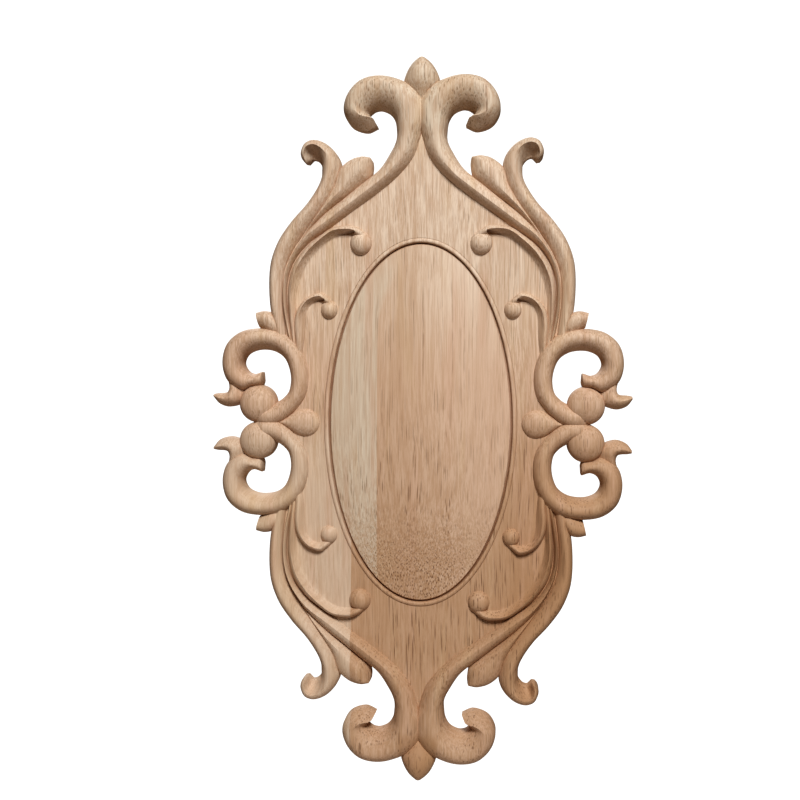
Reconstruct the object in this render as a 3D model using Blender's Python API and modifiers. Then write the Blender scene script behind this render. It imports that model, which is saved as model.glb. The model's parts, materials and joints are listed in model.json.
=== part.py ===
"""Carved wood applique: an oval cartouche framed by scrolls, leaves and two pairs of rings.

One solid board, carved on its front and flat behind. It stands upright, as on a wall:
X is to the right, Z is up, the carved front faces -Y and the flat back lies on Y = 0.
The origin is the middle of the back. Only the upper right quarter is modelled, and two
mirrors make the rest.
"""

import bpy
import bmesh
from math import atan2, ceil, cos, hypot, pi, sin

MM = 0.001

# Driving sizes in millimetres. Heights are measured from the back.
HALF_WIDTH = 145.0
HALF_HEIGHT = 250.0
FIELD_HEIGHT = 10.5
WALL_HEIGHT = 9.0
TOP_HEIGHT = 19.0
BACK_OVERLAP = 3.0
SPARE = 10.0

# The oval: half width and half height along the bottom of the groove round the dome.
OVAL_HALF_WIDTH = 62.9
OVAL_HALF_HEIGHT = 123.5
DOME_RISE = 6.0
GROOVE_DEPTH = 3.2
GROOVE_HALF_WIDTH = 1.0
BEAD_RISE = 1.5
BEAD_WIDTH = 3.2
BEAD_STEP = 1.3
OPENING_SHARE = 0.95

# Facets: greatest length and turn along a strand, and where its front is divided.
STRAND_STEP = 26.0
STRAND_TURN = pi / 7
CREST_TO_EDGE = (0.0, 0.6, 1.0)
OVAL_STEPS = 48
DOME_SHARES = (0.3, 0.6, 0.85, 1.0)
BALL_STEPS = 12
BALL_RINGS = 3

# Creases sharper than this stay sharp when the round faces are shaded smooth.
SHARP_ANGLE = pi / 3

# Merge distances in metres, far below the smallest detail.
WELD = 0.000001
TURN_MERGE = 0.0001
MIRROR_MERGE = 0.00001

# Each strand is a list of rungs, laid across it from one edge to the other, in millimetres:
# x and z of the first edge, x and z of the second edge, height of the crest, how far across
# the crest lies, and how straight the slopes are from the crest to the first and to the
# second edge: 0 is round like a quarter circle, 1 is a flat chamfer and more is hollow.
MAIN_SCROLL = (
    (30.2, 203.6, 33.2, 208.8, 14.0, 0.80, 0.9, 0.2),
    (38.0, 200.6, 34.9, 210.4, 16.0, 0.82, 0.9, 0.2),
    (48.6, 204.5, 35.8, 211.0, 17.5, 0.70, 0.6, 0.3),
    (53.8, 214.5, 35.8, 212.4, 18.4, 0.46, 0.1, 0.5),
    (51.0, 226.0, 34.3, 213.8, 18.8, 0.36, 0.0, 0.5),
    (42.0, 235.2, 31.7, 215.3, 19.0, 0.33, 0.0, 0.5),
    (29.5, 238.0, 27.5, 215.6, 19.0, 0.33, 0.0, 0.5),
    (16.5, 234.4, 21.8, 212.9, 19.0, 0.40, 0.0, 0.4),
    (4.0, 228.0, 18.3, 207.2, 19.0, 0.55, 0.0, 0.3),
    (-1.0, 215.0, 17.3, 200.0, 18.5, 0.60, 0.1, 0.0),
    (-1.0, 200.0, 18.0, 193.7, 18.5, 0.55, 0.4, 0.0),
    (4.5, 182.8, 20.8, 187.3, 18.5, 0.45, 0.5, 0.0),
    (16.0, 168.8, 29.1, 174.8, 18.0, 0.42, 0.5, 0.0),
    (31.0, 156.5, 41.5, 165.0, 17.5, 0.42, 0.5, 0.0),
    (47.0, 145.2, 55.5, 154.2, 17.0, 0.42, 0.5, 0.1),
    (63.0, 133.3, 68.5, 144.3, 16.5, 0.43, 0.5, 0.2),
    (78.0, 123.0, 82.0, 132.0, 16.5, 0.50, 0.5, 0.4),
    (88.0, 110.5, 93.0, 114.5, 16.0, 0.50, 0.4, 0.5),
    (92.3, 96.0, 97.4, 97.0, 16.0, 0.50, 0.4, 0.5),
    (92.0, 78.0, 96.8, 77.0, 15.5, 0.50, 0.4, 0.5),
    (86.0, 56.0, 91.0, 54.0, 14.0, 0.50, 0.4, 0.5),
)
SHOULDER_SCROLL = (
    (80.8, 179.5, 78.4, 179.1, 12.5, 0.50, 0.0, 0.3),
    (82.8, 182.2, 76.8, 180.8, 15.0, 0.40, 0.0, 0.8),
    (83.3, 186.8, 75.6, 181.9, 16.4, 0.36, 0.0, 1.2),
    (80.2, 192.8, 74.2, 182.0, 17.0, 0.32, 0.0, 1.5),
    (73.5, 194.8, 72.0, 181.0, 17.4, 0.32, 0.0, 1.3),
    (64.7, 191.4, 69.4, 177.8, 17.5, 0.38, 0.0, 0.7),
    (57.7, 183.6, 69.0, 174.4, 17.5, 0.45, 0.1, 0.2),
    (55.5, 174.0, 69.4, 168.7, 17.5, 0.55, 0.4, 0.1),
    (59.5, 158.5, 72.7, 161.2, 17.0, 0.58, 0.4, 0.0),
    (69.3, 144.0, 79.7, 151.0, 17.0, 0.58, 0.4, 0.0),
    (80.0, 131.5, 90.4, 139.1, 16.5, 0.58, 0.4, 0.0),
    (89.0, 117.5, 99.8, 125.2, 16.5, 0.58, 0.4, 0.0),
    (94.5, 103.0, 105.2, 108.6, 16.0, 0.58, 0.4, 0.0),
    (95.5, 84.0, 105.5, 84.0, 16.0, 0.55, 0.4, 0.0),
    (93.0, 60.0, 101.5, 60.0, 14.5, 0.50, 0.2, 0.0),
)
LEAF = (
    (33.9, 180.5, 35.2, 182.4, 12.5, 0.60, 0.6, 0.0),
    (33.6, 176.0, 41.0, 183.2, 15.5, 0.62, 0.6, 0.0),
    (35.5, 168.0, 49.0, 181.0, 17.0, 0.48, 0.6, 0.0),
    (42.0, 162.5, 56.5, 174.5, 17.0, 0.42, 0.6, 0.0),
    (50.0, 156.0, 60.5, 164.0, 16.5, 0.45, 0.6, 0.1),
    (57.5, 150.5, 65.0, 155.5, 16.5, 0.50, 0.6, 0.2),
    (65.0, 144.0, 70.0, 147.5, 15.5, 0.60, 0.6, 0.4),
    (72.0, 137.5, 75.5, 140.0, 13.0, 0.60, 0.6, 0.6),
)
UPPER_VOLUTE = (
    (39.2, 125.0, 35.6, 125.8, 13.0, 0.50, 0.6, 0.1),
    (39.8, 128.6, 36.2, 130.2, 14.5, 0.52, 0.8, 0.1),
    (42.9, 130.6, 41.0, 134.0, 15.4, 0.58, 1.0, 0.1),
    (49.0, 128.8, 48.5, 136.0, 16.0, 0.64, 1.1, 0.1),
    (58.0, 127.2, 61.0, 134.8, 16.6, 0.66, 1.1, 0.2),
    (66.5, 121.3, 70.5, 129.8, 16.8, 0.66, 1.1, 0.3),
    (75.0, 112.0, 81.0, 121.5, 16.8, 0.64, 1.1, 0.4),
    (81.0, 101.5, 90.0, 108.5, 16.6, 0.62, 1.0, 0.5),
    (85.0, 90.0, 93.3, 92.0, 16.2, 0.60, 0.9, 0.5),
    (86.5, 76.0, 92.5, 76.0, 15.5, 0.57, 0.8, 0.5),
    (83.5, 56.0, 89.0, 54.0, 14.0, 0.57, 0.6, 0.5),
)
LOWER_VOLUTE = (
    (61.6, 79.6, 58.4, 80.2, 12.6, 0.50, 0.6, 0.1),
    (61.4, 82.4, 58.4, 83.8, 13.8, 0.52, 0.8, 0.1),
    (64.4, 84.6, 63.2, 88.2, 14.6, 0.58, 1.0, 0.1),
    (70.0, 83.2, 69.5, 90.6, 15.4, 0.62, 1.1, 0.1),
    (76.0, 80.8, 78.5, 87.2, 16.0, 0.62, 1.1, 0.2),
    (79.4, 74.5, 85.3, 79.5, 16.2, 0.60, 1.0, 0.2),
    (80.3, 66.0, 88.2, 68.0, 16.0, 0.58, 0.8, 0.2),
    (80.5, 56.0, 87.5, 57.0, 15.0, 0.55, 0.6, 0.2),
    (79.0, 46.0, 85.0, 45.0, 14.0, 0.55, 0.5, 0.2),
)
RING = (
    (110.7, 34.0, 110.3, 28.5, 12.0, 0.45, 0.0, 0.1),
    (111.2, 35.0, 111.1, 26.0, 14.0, 0.45, 0.0, 0.1),
    (113.2, 34.5, 113.2, 24.5, 15.2, 0.45, 0.1, 0.1),
    (116.6, 33.5, 117.6, 24.3, 16.2, 0.45, 0.2, 0.1),
    (121.0, 35.0, 125.0, 22.0, 17.0, 0.50, 0.0, 0.0),
    (124.0, 39.5, 135.6, 28.8, 17.5, 0.50, 0.0, 0.0),
    (123.8, 43.5, 139.2, 41.0, 18.0, 0.50, 0.0, 0.0),
    (121.0, 47.6, 136.0, 54.3, 18.0, 0.55, 0.0, 0.0),
    (115.5, 50.1, 126.0, 63.0, 18.0, 0.57, 0.1, 0.0),
    (109.0, 50.6, 112.0, 65.6, 18.0, 0.57, 0.2, 0.0),
    (101.9, 49.2, 98.5, 64.0, 18.0, 0.55, 0.2, 0.0),
    (95.6, 45.0, 86.5, 56.0, 17.5, 0.50, 0.1, 0.0),
    (92.2, 38.3, 79.5, 44.0, 17.0, 0.50, 0.0, 0.0),
    (90.8, 30.0, 77.2, 31.0, 17.0, 0.50, 0.0, 0.1),
    (92.2, 21.8, 79.3, 18.5, 16.5, 0.50, 0.0, 0.1),
    (95.8, 17.3, 85.5, 9.2, 16.0, 0.50, 0.0, 0.1),
    (99.8, 14.6, 94.0, 1.5, 16.4, 0.50, 0.0, 0.0),
    (104.6, 12.4, 102.5, -3.0, 16.6, 0.48, 0.0, 0.0),
    (109.5, 11.8, 109.5, -3.6, 16.2, 0.46, 0.0, 0.0),
    (113.4, 10.8, 114.2, -2.6, 13.6, 0.46, 0.0, 0.0),
    (116.2, 9.4, 117.0, -0.6, 10.4, 0.46, 0.0, 0.0),
)
TAIL = (
    (136.0, 31.0, 124.0, 23.0, 12.0, 0.40, 0.2, 0.2),
    (134.5, 25.0, 125.5, 18.0, 14.0, 0.40, 0.2, 0.2),
    (135.4, 21.3, 129.0, 13.3, 15.0, 0.40, 0.2, 0.3),
    (138.0, 20.3, 134.8, 10.5, 14.5, 0.40, 0.2, 0.4),
    (142.0, 20.1, 141.6, 12.8, 13.5, 0.40, 0.2, 0.4),
    (144.7, 19.6, 145.0, 17.0, 12.0, 0.40, 0.2, 0.2),
)
SIDE_LEAF = (
    (112.5, 66.0, 114.8, 76.2, 14.0, 0.60, 0.4, 0.0),
    (108.0, 63.0, 109.5, 77.4, 15.5, 0.60, 0.3, 0.0),
    (103.0, 60.0, 104.0, 76.4, 16.0, 0.60, 0.3, 0.0),
    (98.0, 58.0, 99.5, 72.0, 14.0, 0.60, 0.3, 0.0),
)
BUD = (
    (-0.4, 249.9, 0.4, 249.9, 11.5, 0.50, 0.0, 0.0),
    (-2.8, 249.2, 2.8, 249.2, 13.5, 0.50, 0.0, 0.0),
    (-7.4, 245.2, 7.4, 245.2, 16.5, 0.50, 0.0, 0.0),
    (-11.0, 239.0, 11.0, 239.0, 18.5, 0.50, 0.1, 0.1),
    (-12.5, 232.5, 12.5, 232.5, 19.0, 0.50, 0.2, 0.2),
    (-9.5, 226.0, 9.5, 226.0, 19.0, 0.50, 0.3, 0.3),
    (-4.0, 220.0, 4.0, 220.0, 18.0, 0.50, 0.3, 0.3),
    (-0.8, 216.0, 0.8, 216.0, 16.0, 0.50, 0.3, 0.3),
)
CHEEK = (
    (69.9, 1.8, 69.9, -1.8, 10.8, 0.50, 0.0, 0.0),
    (71.2, 5.2, 71.2, -5.2, 12.4, 0.50, 0.0, 0.0),
    (74.6, 8.6, 74.6, -8.6, 14.2, 0.50, 0.0, 0.0),
    (79.6, 10.0, 79.6, -10.0, 15.0, 0.50, 0.0, 0.0),
    (85.2, 9.0, 85.2, -9.0, 15.0, 0.50, 0.1, 0.1),
    (91.0, 5.6, 91.0, -5.6, 14.2, 0.50, 0.2, 0.2),
    (96.0, 2.2, 96.0, -2.2, 12.8, 0.50, 0.3, 0.3),
    (100.0, 0.8, 100.0, -0.8, 11.4, 0.50, 0.3, 0.3),
)
STRANDS = {
    "main_scroll": MAIN_SCROLL,
    "shoulder_scroll": SHOULDER_SCROLL,
    "leaf": LEAF,
    "upper_volute": UPPER_VOLUTE,
    "lower_volute": LOWER_VOLUTE,
    "ring": RING,
    "tail": TAIL,
    "side_leaf": SIDE_LEAF,
    "bud": BUD,
    "cheek": CHEEK,
}

# Heights of a strand's first and second edge, where they aren't the usual wall height.
EDGE_HEIGHTS = {
    "main_scroll": (9.0, 6.0),
    "shoulder_scroll": (9.0, 6.5),
    "ring": (5.5, 7.0),
    "tail": (7.0, 7.0),
    "bud": (7.0, 7.0),
}

# The field is hidden under the strands at its edge, so a plain outline will do.
FIELD_OUTLINE = (
    (-5.0, -5.0), (107.0, -5.0), (96.0, 7.0), (83.0, 40.0), (99.0, 60.0), (99.0, 97.0),
    (90.0, 118.0), (70.0, 145.0), (48.0, 160.0), (25.0, 172.0), (10.0, 188.0), (6.0, 206.0),
    (-5.0, 206.0),
)

# Bosses: middle x and z, half width, half height, crest height, and how softly the foot runs
# out, from 1 for a ball.
BOSSES = {
    "ring_ball": (113.8, 12.9, 12.8, 13.1, 18.2, 1.0),
    "upper_ball": (41.3, 122.9, 8.0, 8.0, 16.2, 1.4),
    "lower_ball": (63.3, 77.6, 6.4, 6.4, 15.2, 1.4),
}

# Pale, unfinished rubberwood.
WOOD_COLOUR = (0.66, 0.46, 0.31, 1.0)
WOOD_ROUGHNESS = 0.62


def clear_scene():
    """Remove whatever the scene starts with."""
    for thing in list(bpy.data.objects):
        bpy.data.objects.remove(thing, do_unlink=True)


def new_collection(name):
    """Add a collection to the scene."""
    collection = bpy.data.collections.new(name)
    bpy.context.scene.collection.children.link(collection)
    return collection


def wood_material():
    """Bare wood with the colour of the photographed board."""
    material = bpy.data.materials.new("wood")
    material.use_nodes = True
    shader = material.node_tree.nodes["Principled BSDF"]
    shader.inputs["Base Color"].default_value = WOOD_COLOUR
    shader.inputs["Roughness"].default_value = WOOD_ROUGHNESS
    shader.inputs["Metallic"].default_value = 0.0
    return material


def shade_round(mesh):
    """Shade a mesh smooth and keep its creases sharp."""
    mesh.shade_smooth()
    mesh.set_sharp_from_angle(angle=SHARP_ANGLE)


def add_mesh(name, collection, bm):
    """Turn a bmesh in millimetres into an object in metres."""
    bmesh.ops.recalc_face_normals(bm, faces=bm.faces)
    bmesh.ops.scale(bm, vec=(MM, MM, MM), verts=bm.verts)
    mesh = bpy.data.meshes.new(name)
    bm.to_mesh(mesh)
    bm.free()
    shade_round(mesh)
    thing = bpy.data.objects.new(name, mesh)
    collection.objects.link(thing)
    return thing


def as_guide(thing):
    """Show a piece that only shapes another one as a wire."""
    thing.hide_render = True
    thing.display_type = 'WIRE'
    return thing


def middle(rung):
    """The point half way along a rung."""
    return (rung[0] + rung[2]) / 2, (rung[1] + rung[3]) / 2


def slope(rungs, places, i):
    """How fast each value changes at rung i, from its neighbours on either side."""
    before = max(i - 1, 0)
    after = min(i + 1, len(rungs) - 1)
    run = places[after] - places[before]
    return [(b - a) / run for a, b in zip(rungs[before], rungs[after])]


def between(rungs, places, i, t):
    """The rung a share t of the way from rung i to the next, on smooth curves."""
    run = places[i + 1] - places[i]
    starts = slope(rungs, places, i)
    ends = slope(rungs, places, i + 1)
    rung = []
    for a, b, s, e in zip(rungs[i], rungs[i + 1], starts, ends):
        rise = (2 * t ** 3 - 3 * t ** 2 + 1) * a + (3 * t ** 2 - 2 * t ** 3) * b
        bend = (t ** 3 - 2 * t ** 2 + t) * s + (t ** 3 - t ** 2) * e
        rung.append(rise + run * bend)
    return rung


def facets_needed(near, far, start, end):
    """Facets between two rungs, from the length and turn of the longer edge."""
    edges = []
    for x, z in ((0, 1), (2, 3)):
        length = hypot(far[x] - near[x], far[z] - near[z])
        turn = abs(atan2(end[z], end[x]) - atan2(start[z], start[x]))
        edges.append((length, min(turn, 2 * pi - turn)))
    length, turn = max(edges)
    return max(ceil(length / STRAND_STEP), ceil(turn / STRAND_TURN))


def smooth_rungs(rungs):
    """Add rungs where the edges are long or turn, so that both edges run smoothly."""
    places = [0.0]
    for near, far in zip(rungs, rungs[1:]):
        x0, z0 = middle(near)
        x1, z1 = middle(far)
        places.append(places[-1] + hypot(x1 - x0, z1 - z0))
    slopes = [slope(rungs, places, i) for i in range(len(rungs))]
    fine = []
    for i in range(len(rungs) - 1):
        count = facets_needed(rungs[i], rungs[i + 1], slopes[i], slopes[i + 1])
        fine += [between(rungs, places, i, n / count) for n in range(count)]
    fine.append(list(rungs[-1]))
    return fine


def rise_share(share, straight):
    """Share of the full rise at a share of the way from the crest to an edge."""
    return (1 - share ** (2 - straight)) ** (0.5 + straight / 2)


def section(rung, first_edge, second_edge):
    """Points round one cross-section: the carved front, then the two back corners."""
    x0, z0, x1, z1, crest, lean, first_straight, second_straight = rung
    profile = []
    for share in reversed(CREST_TO_EDGE):
        height = first_edge + (crest - first_edge) * rise_share(share, first_straight)
        profile.append((lean * (1 - share), height))
    for share in CREST_TO_EDGE[1:]:
        height = second_edge + (crest - second_edge) * rise_share(share, second_straight)
        profile.append((lean + (1 - lean) * share, height))
    points = [(x0 + (x1 - x0) * t, -height, z0 + (z1 - z0) * t) for t, height in profile]
    points.append((x1, BACK_OVERLAP, z1))
    points.append((x0, BACK_OVERLAP, z0))
    return points


def strand(name, collection, rungs):
    """A loft through the rungs: straight sides, carved front, closed at both ends."""
    edges = EDGE_HEIGHTS.get(name, (WALL_HEIGHT, WALL_HEIGHT))
    bm = bmesh.new()
    rows = []
    for rung in smooth_rungs(rungs):
        rows.append([bm.verts.new(point) for point in section(rung, *edges)])
    for near, far in zip(rows, rows[1:]):
        for i in range(len(near)):
            j = (i + 1) % len(near)
            bm.faces.new((near[i], near[j], far[j], far[i]))
    bm.faces.new(rows[0])
    bm.faces.new(rows[-1])
    return as_guide(add_mesh(name, collection, bm))


def field(name, collection):
    """The flat board that the strands frame, from an outline filled and thickened."""
    curve = bpy.data.curves.new(name, 'CURVE')
    curve.dimensions = '2D'
    curve.fill_mode = 'BOTH'
    curve.extrude = (FIELD_HEIGHT + BACK_OVERLAP) / 2 * MM
    spline = curve.splines.new('POLY')
    spline.points.add(len(FIELD_OUTLINE) - 1)
    for point, (x, z) in zip(spline.points, FIELD_OUTLINE):
        point.co = (x * MM, z * MM, 0.0, 1.0)
    spline.use_cyclic_u = True
    outline = bpy.data.objects.new(name + "_outline", curve)
    collection.objects.link(outline)
    outline.rotation_euler.x = pi / 2
    outline.location.y = (BACK_OVERLAP - FIELD_HEIGHT) / 2 * MM
    return curve_to_mesh(name, collection, outline)


def curve_to_mesh(name, collection, source):
    """Replace a curve by a mesh object with its caps welded."""
    bpy.context.view_layer.update()
    evaluated = source.evaluated_get(bpy.context.evaluated_depsgraph_get())
    mesh = bpy.data.meshes.new_from_object(evaluated)
    bm = bmesh.new()
    bm.from_mesh(mesh)
    bmesh.ops.remove_doubles(bm, verts=bm.verts, dist=WELD)
    bmesh.ops.recalc_face_normals(bm, faces=bm.faces)
    bm.to_mesh(mesh)
    bm.free()
    mesh.name = name
    thing = bpy.data.objects.new(name, mesh)
    thing.matrix_world = source.matrix_world
    collection.objects.link(thing)
    bpy.data.objects.remove(source, do_unlink=True)
    return thing


def turned(name, collection, profile, place, half_width, half_height):
    """Turn a profile of (radius share, height) about its middle, round or oval."""
    bm = bmesh.new()
    points = [bm.verts.new((radius, 0.0, height * MM)) for radius, height in profile]
    for near, far in zip(points, points[1:]):
        bm.edges.new((near, far))
    mesh = bpy.data.meshes.new(name)
    bm.to_mesh(mesh)
    bm.free()
    thing = bpy.data.objects.new(name, mesh)
    collection.objects.link(thing)
    screw = thing.modifiers.new("turn", 'SCREW')
    screw.steps = BALL_STEPS
    screw.render_steps = BALL_STEPS
    screw.use_merge_vertices = True
    screw.merge_threshold = TURN_MERGE
    thing.rotation_euler.x = pi / 2
    thing.scale = (half_width * MM, half_height * MM, 1.0)
    thing.location = (place[0] * MM, 0.0, place[1] * MM)
    return as_guide(thing)


def boss(name, collection, sizes):
    """A ball or egg with a straight side, that stands half out of the wood."""
    x, z, half_width, half_height, crest, softness = sizes
    profile = []
    for i in range(BALL_RINGS + 1):
        angle = pi / 2 * i / BALL_RINGS
        rise = max(cos(angle), 0.0) ** softness
        profile.append((sin(angle), WALL_HEIGHT + (crest - WALL_HEIGHT) * rise))
    profile.append((1.0, -BACK_OVERLAP))
    profile.append((0.0, -BACK_OVERLAP))
    return turned(name, collection, profile, (x, z), half_width, half_height)


def oval_loft(name, collection, rows):
    """Join ovals of (half width, half height, height), first to last, and cap the last."""
    bm = bmesh.new()
    loops = []
    for half_width, half_height, height in rows:
        loop = []
        for i in range(OVAL_STEPS):
            angle = 2 * pi * i / OVAL_STEPS
            loop.append(bm.verts.new((half_width * cos(angle), -height, half_height * sin(angle))))
        loops.append(loop)
    for inner, outer in zip(loops, loops[1:]):
        for i in range(OVAL_STEPS):
            j = (i + 1) % OVAL_STEPS
            bm.faces.new((inner[i], inner[j], outer[j], outer[i]))
    bm.faces.new(loops[0])
    bm.faces.new(loops[-1])
    return as_guide(add_mesh(name, collection, bm))


def oval_row(offset, height):
    """An oval a fixed distance outside the bottom of the groove."""
    return OVAL_HALF_WIDTH + offset, OVAL_HALF_HEIGHT + offset, height


def medallion(name, collection):
    """The shallow dome, the groove round it and the bead outside that."""
    rows = []
    for share in DOME_SHARES:
        half_width, half_height, rim = oval_row(-GROOVE_HALF_WIDTH, FIELD_HEIGHT)
        rows.append((share * half_width, share * half_height, rim + DOME_RISE * (1 - share ** 2)))
    bead_start = GROOVE_HALF_WIDTH
    bead_end = GROOVE_HALF_WIDTH + BEAD_WIDTH
    rows.append(oval_row(0.0, FIELD_HEIGHT - GROOVE_DEPTH))
    rows.append(oval_row(bead_start, FIELD_HEIGHT + BEAD_RISE / 2))
    rows.append(oval_row((bead_start + bead_end) / 2, FIELD_HEIGHT + BEAD_RISE))
    rows.append(oval_row(bead_end, FIELD_HEIGHT - BEAD_STEP))
    rows.append(oval_row(bead_end, -BACK_OVERLAP))
    return oval_loft(name, collection, rows)


def oval_opening(name, collection):
    """The hole in the field that the medallion fills, just inside the bead's outer edge."""
    offset = GROOVE_HALF_WIDTH + BEAD_WIDTH * OPENING_SHARE
    front = oval_row(offset, FIELD_HEIGHT + SPARE)
    back = oval_row(offset, -BACK_OVERLAP - SPARE)
    return oval_loft(name, collection, (front, back))


def blank_board(name, collection):
    """The uncut board, a little over size everywhere but at its flat back."""
    bm = bmesh.new()
    bmesh.ops.create_cube(bm, size=2.0)
    bmesh.ops.translate(bm, vec=(0.0, -1.0, 0.0), verts=bm.verts)
    sizes = (HALF_WIDTH + SPARE, (TOP_HEIGHT + SPARE) / 2, HALF_HEIGHT + SPARE)
    bmesh.ops.scale(bm, vec=sizes, verts=bm.verts)
    return as_guide(add_mesh(name, collection, bm))


def boolean(thing, label, operation):
    """Add a Boolean modifier. The exact solver leaves gaps in this many overlapping forms."""
    modifier = thing.modifiers.new(label, 'BOOLEAN')
    modifier.operation = operation
    modifier.solver = 'MANIFOLD'
    return modifier


def build():
    """Model the quarter from overlapping carved forms, join them and mirror the result."""
    clear_scene()
    parts = new_collection("carved_applique_parts")
    carving = new_collection("carved_forms")
    limits = new_collection("limits")

    applique = field("carved_applique", parts)
    applique.data.materials.append(wood_material())

    for name, rungs in STRANDS.items():
        strand(name, carving, rungs)
    for name, sizes in BOSSES.items():
        boss(name, carving, sizes)
    medallion("medallion", carving)

    opening = boolean(applique, "opening", 'DIFFERENCE')
    opening.object = oval_opening("oval_opening", limits)
    join = boolean(applique, "join", 'UNION')
    join.operand_type = 'COLLECTION'
    join.collection = carving
    trim = boolean(applique, "trim", 'INTERSECT')
    trim.object = blank_board("blank_board", limits)

    mirror = applique.modifiers.new("mirror", 'MIRROR')
    mirror.use_axis = (True, True, False)
    mirror.use_bisect_axis = (True, True, False)
    mirror.bisect_threshold = WELD
    mirror.merge_threshold = MIRROR_MERGE


build()
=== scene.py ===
"""Looks of the carved wood applique: fine carving, bare rubberwood, studio light and camera."""

import json
from math import atan2, ceil, cos, hypot, pi, radians, sin
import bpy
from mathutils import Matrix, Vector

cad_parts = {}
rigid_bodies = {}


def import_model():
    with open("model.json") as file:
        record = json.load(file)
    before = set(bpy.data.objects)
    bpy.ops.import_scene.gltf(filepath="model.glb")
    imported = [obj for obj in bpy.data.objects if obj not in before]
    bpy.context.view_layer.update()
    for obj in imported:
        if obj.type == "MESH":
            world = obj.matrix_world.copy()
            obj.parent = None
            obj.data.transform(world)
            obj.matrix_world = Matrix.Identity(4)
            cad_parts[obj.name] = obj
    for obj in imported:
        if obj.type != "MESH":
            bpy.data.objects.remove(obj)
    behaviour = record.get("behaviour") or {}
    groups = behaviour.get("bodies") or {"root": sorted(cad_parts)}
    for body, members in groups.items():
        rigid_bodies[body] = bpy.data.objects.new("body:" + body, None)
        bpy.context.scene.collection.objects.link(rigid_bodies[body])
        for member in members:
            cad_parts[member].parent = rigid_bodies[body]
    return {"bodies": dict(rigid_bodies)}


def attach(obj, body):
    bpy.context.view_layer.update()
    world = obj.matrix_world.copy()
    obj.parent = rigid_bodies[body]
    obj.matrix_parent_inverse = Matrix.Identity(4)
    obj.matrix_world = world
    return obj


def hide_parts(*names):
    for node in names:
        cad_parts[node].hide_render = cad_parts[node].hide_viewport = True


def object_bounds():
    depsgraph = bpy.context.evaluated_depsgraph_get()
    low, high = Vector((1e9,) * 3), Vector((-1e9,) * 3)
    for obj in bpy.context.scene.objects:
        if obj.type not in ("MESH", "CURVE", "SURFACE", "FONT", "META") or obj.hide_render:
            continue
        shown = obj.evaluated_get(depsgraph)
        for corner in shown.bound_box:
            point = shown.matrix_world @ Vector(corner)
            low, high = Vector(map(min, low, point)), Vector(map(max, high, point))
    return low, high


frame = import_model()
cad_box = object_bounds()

from types import SimpleNamespace

import bmesh
import bpy
from mathutils import Quaternion, Vector

NODE = "carved_applique"
BODY = next(iter(frame["bodies"]))
MM = 0.001

# Heights of the field and of the strands' usual walls above the flat back, in millimetres.
FIELD_HEIGHT = 10.5
WALL_HEIGHT = 9.0

# The forms reach this far behind the back before they are trimmed, in millimetres. The board's
# grid starts a little off the mirror planes, so that no cell edge lies on them.
BACK_OVERLAP = 3.0
BOARD_SIZE = 300.0
GRID_SKEW = 6.7

# The oval, along the middle of its groove, with the dome inside and the bead outside, in
# millimetres. The groove's bottom lies a little outside its middle, and the bead's outer foot
# is deeper than its inner one.
OVAL_HALF_WIDTH = 62.9
OVAL_HALF_HEIGHT = 123.5
DOME_RISE = 6.0
GROOVE_DEPTH = 3.2
GROOVE_HALF_WIDTH = 1.0
GROOVE_LEAN = 0.45
BEAD_RISE = 1.3
BEAD_WIDTH = 3.2
BEAD_STEP = 1.2
# How far across the bead the opening in the field reaches.
OPENING_SHARE = 0.95

# Fineness of the carving: steps in millimetres, and counts.
STRAND_STEP = 2.4
STRAND_TURN = pi / 36
SECTION_STEPS = 7
OVAL_STEPS = 168
DOME_RINGS = 26
BEAD_RINGS = 8
BALL_STEPS = 56
BALL_RINGS = 12
FIELD_CELL = 3.0
SHARP_ANGLE = radians(38)
# Reach of the mirrored halves' joint, in metres: what counts as on the mirror, and what is merged.
MIRROR_REACH = 0.000001
MERGE_REACH = 0.00001

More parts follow.
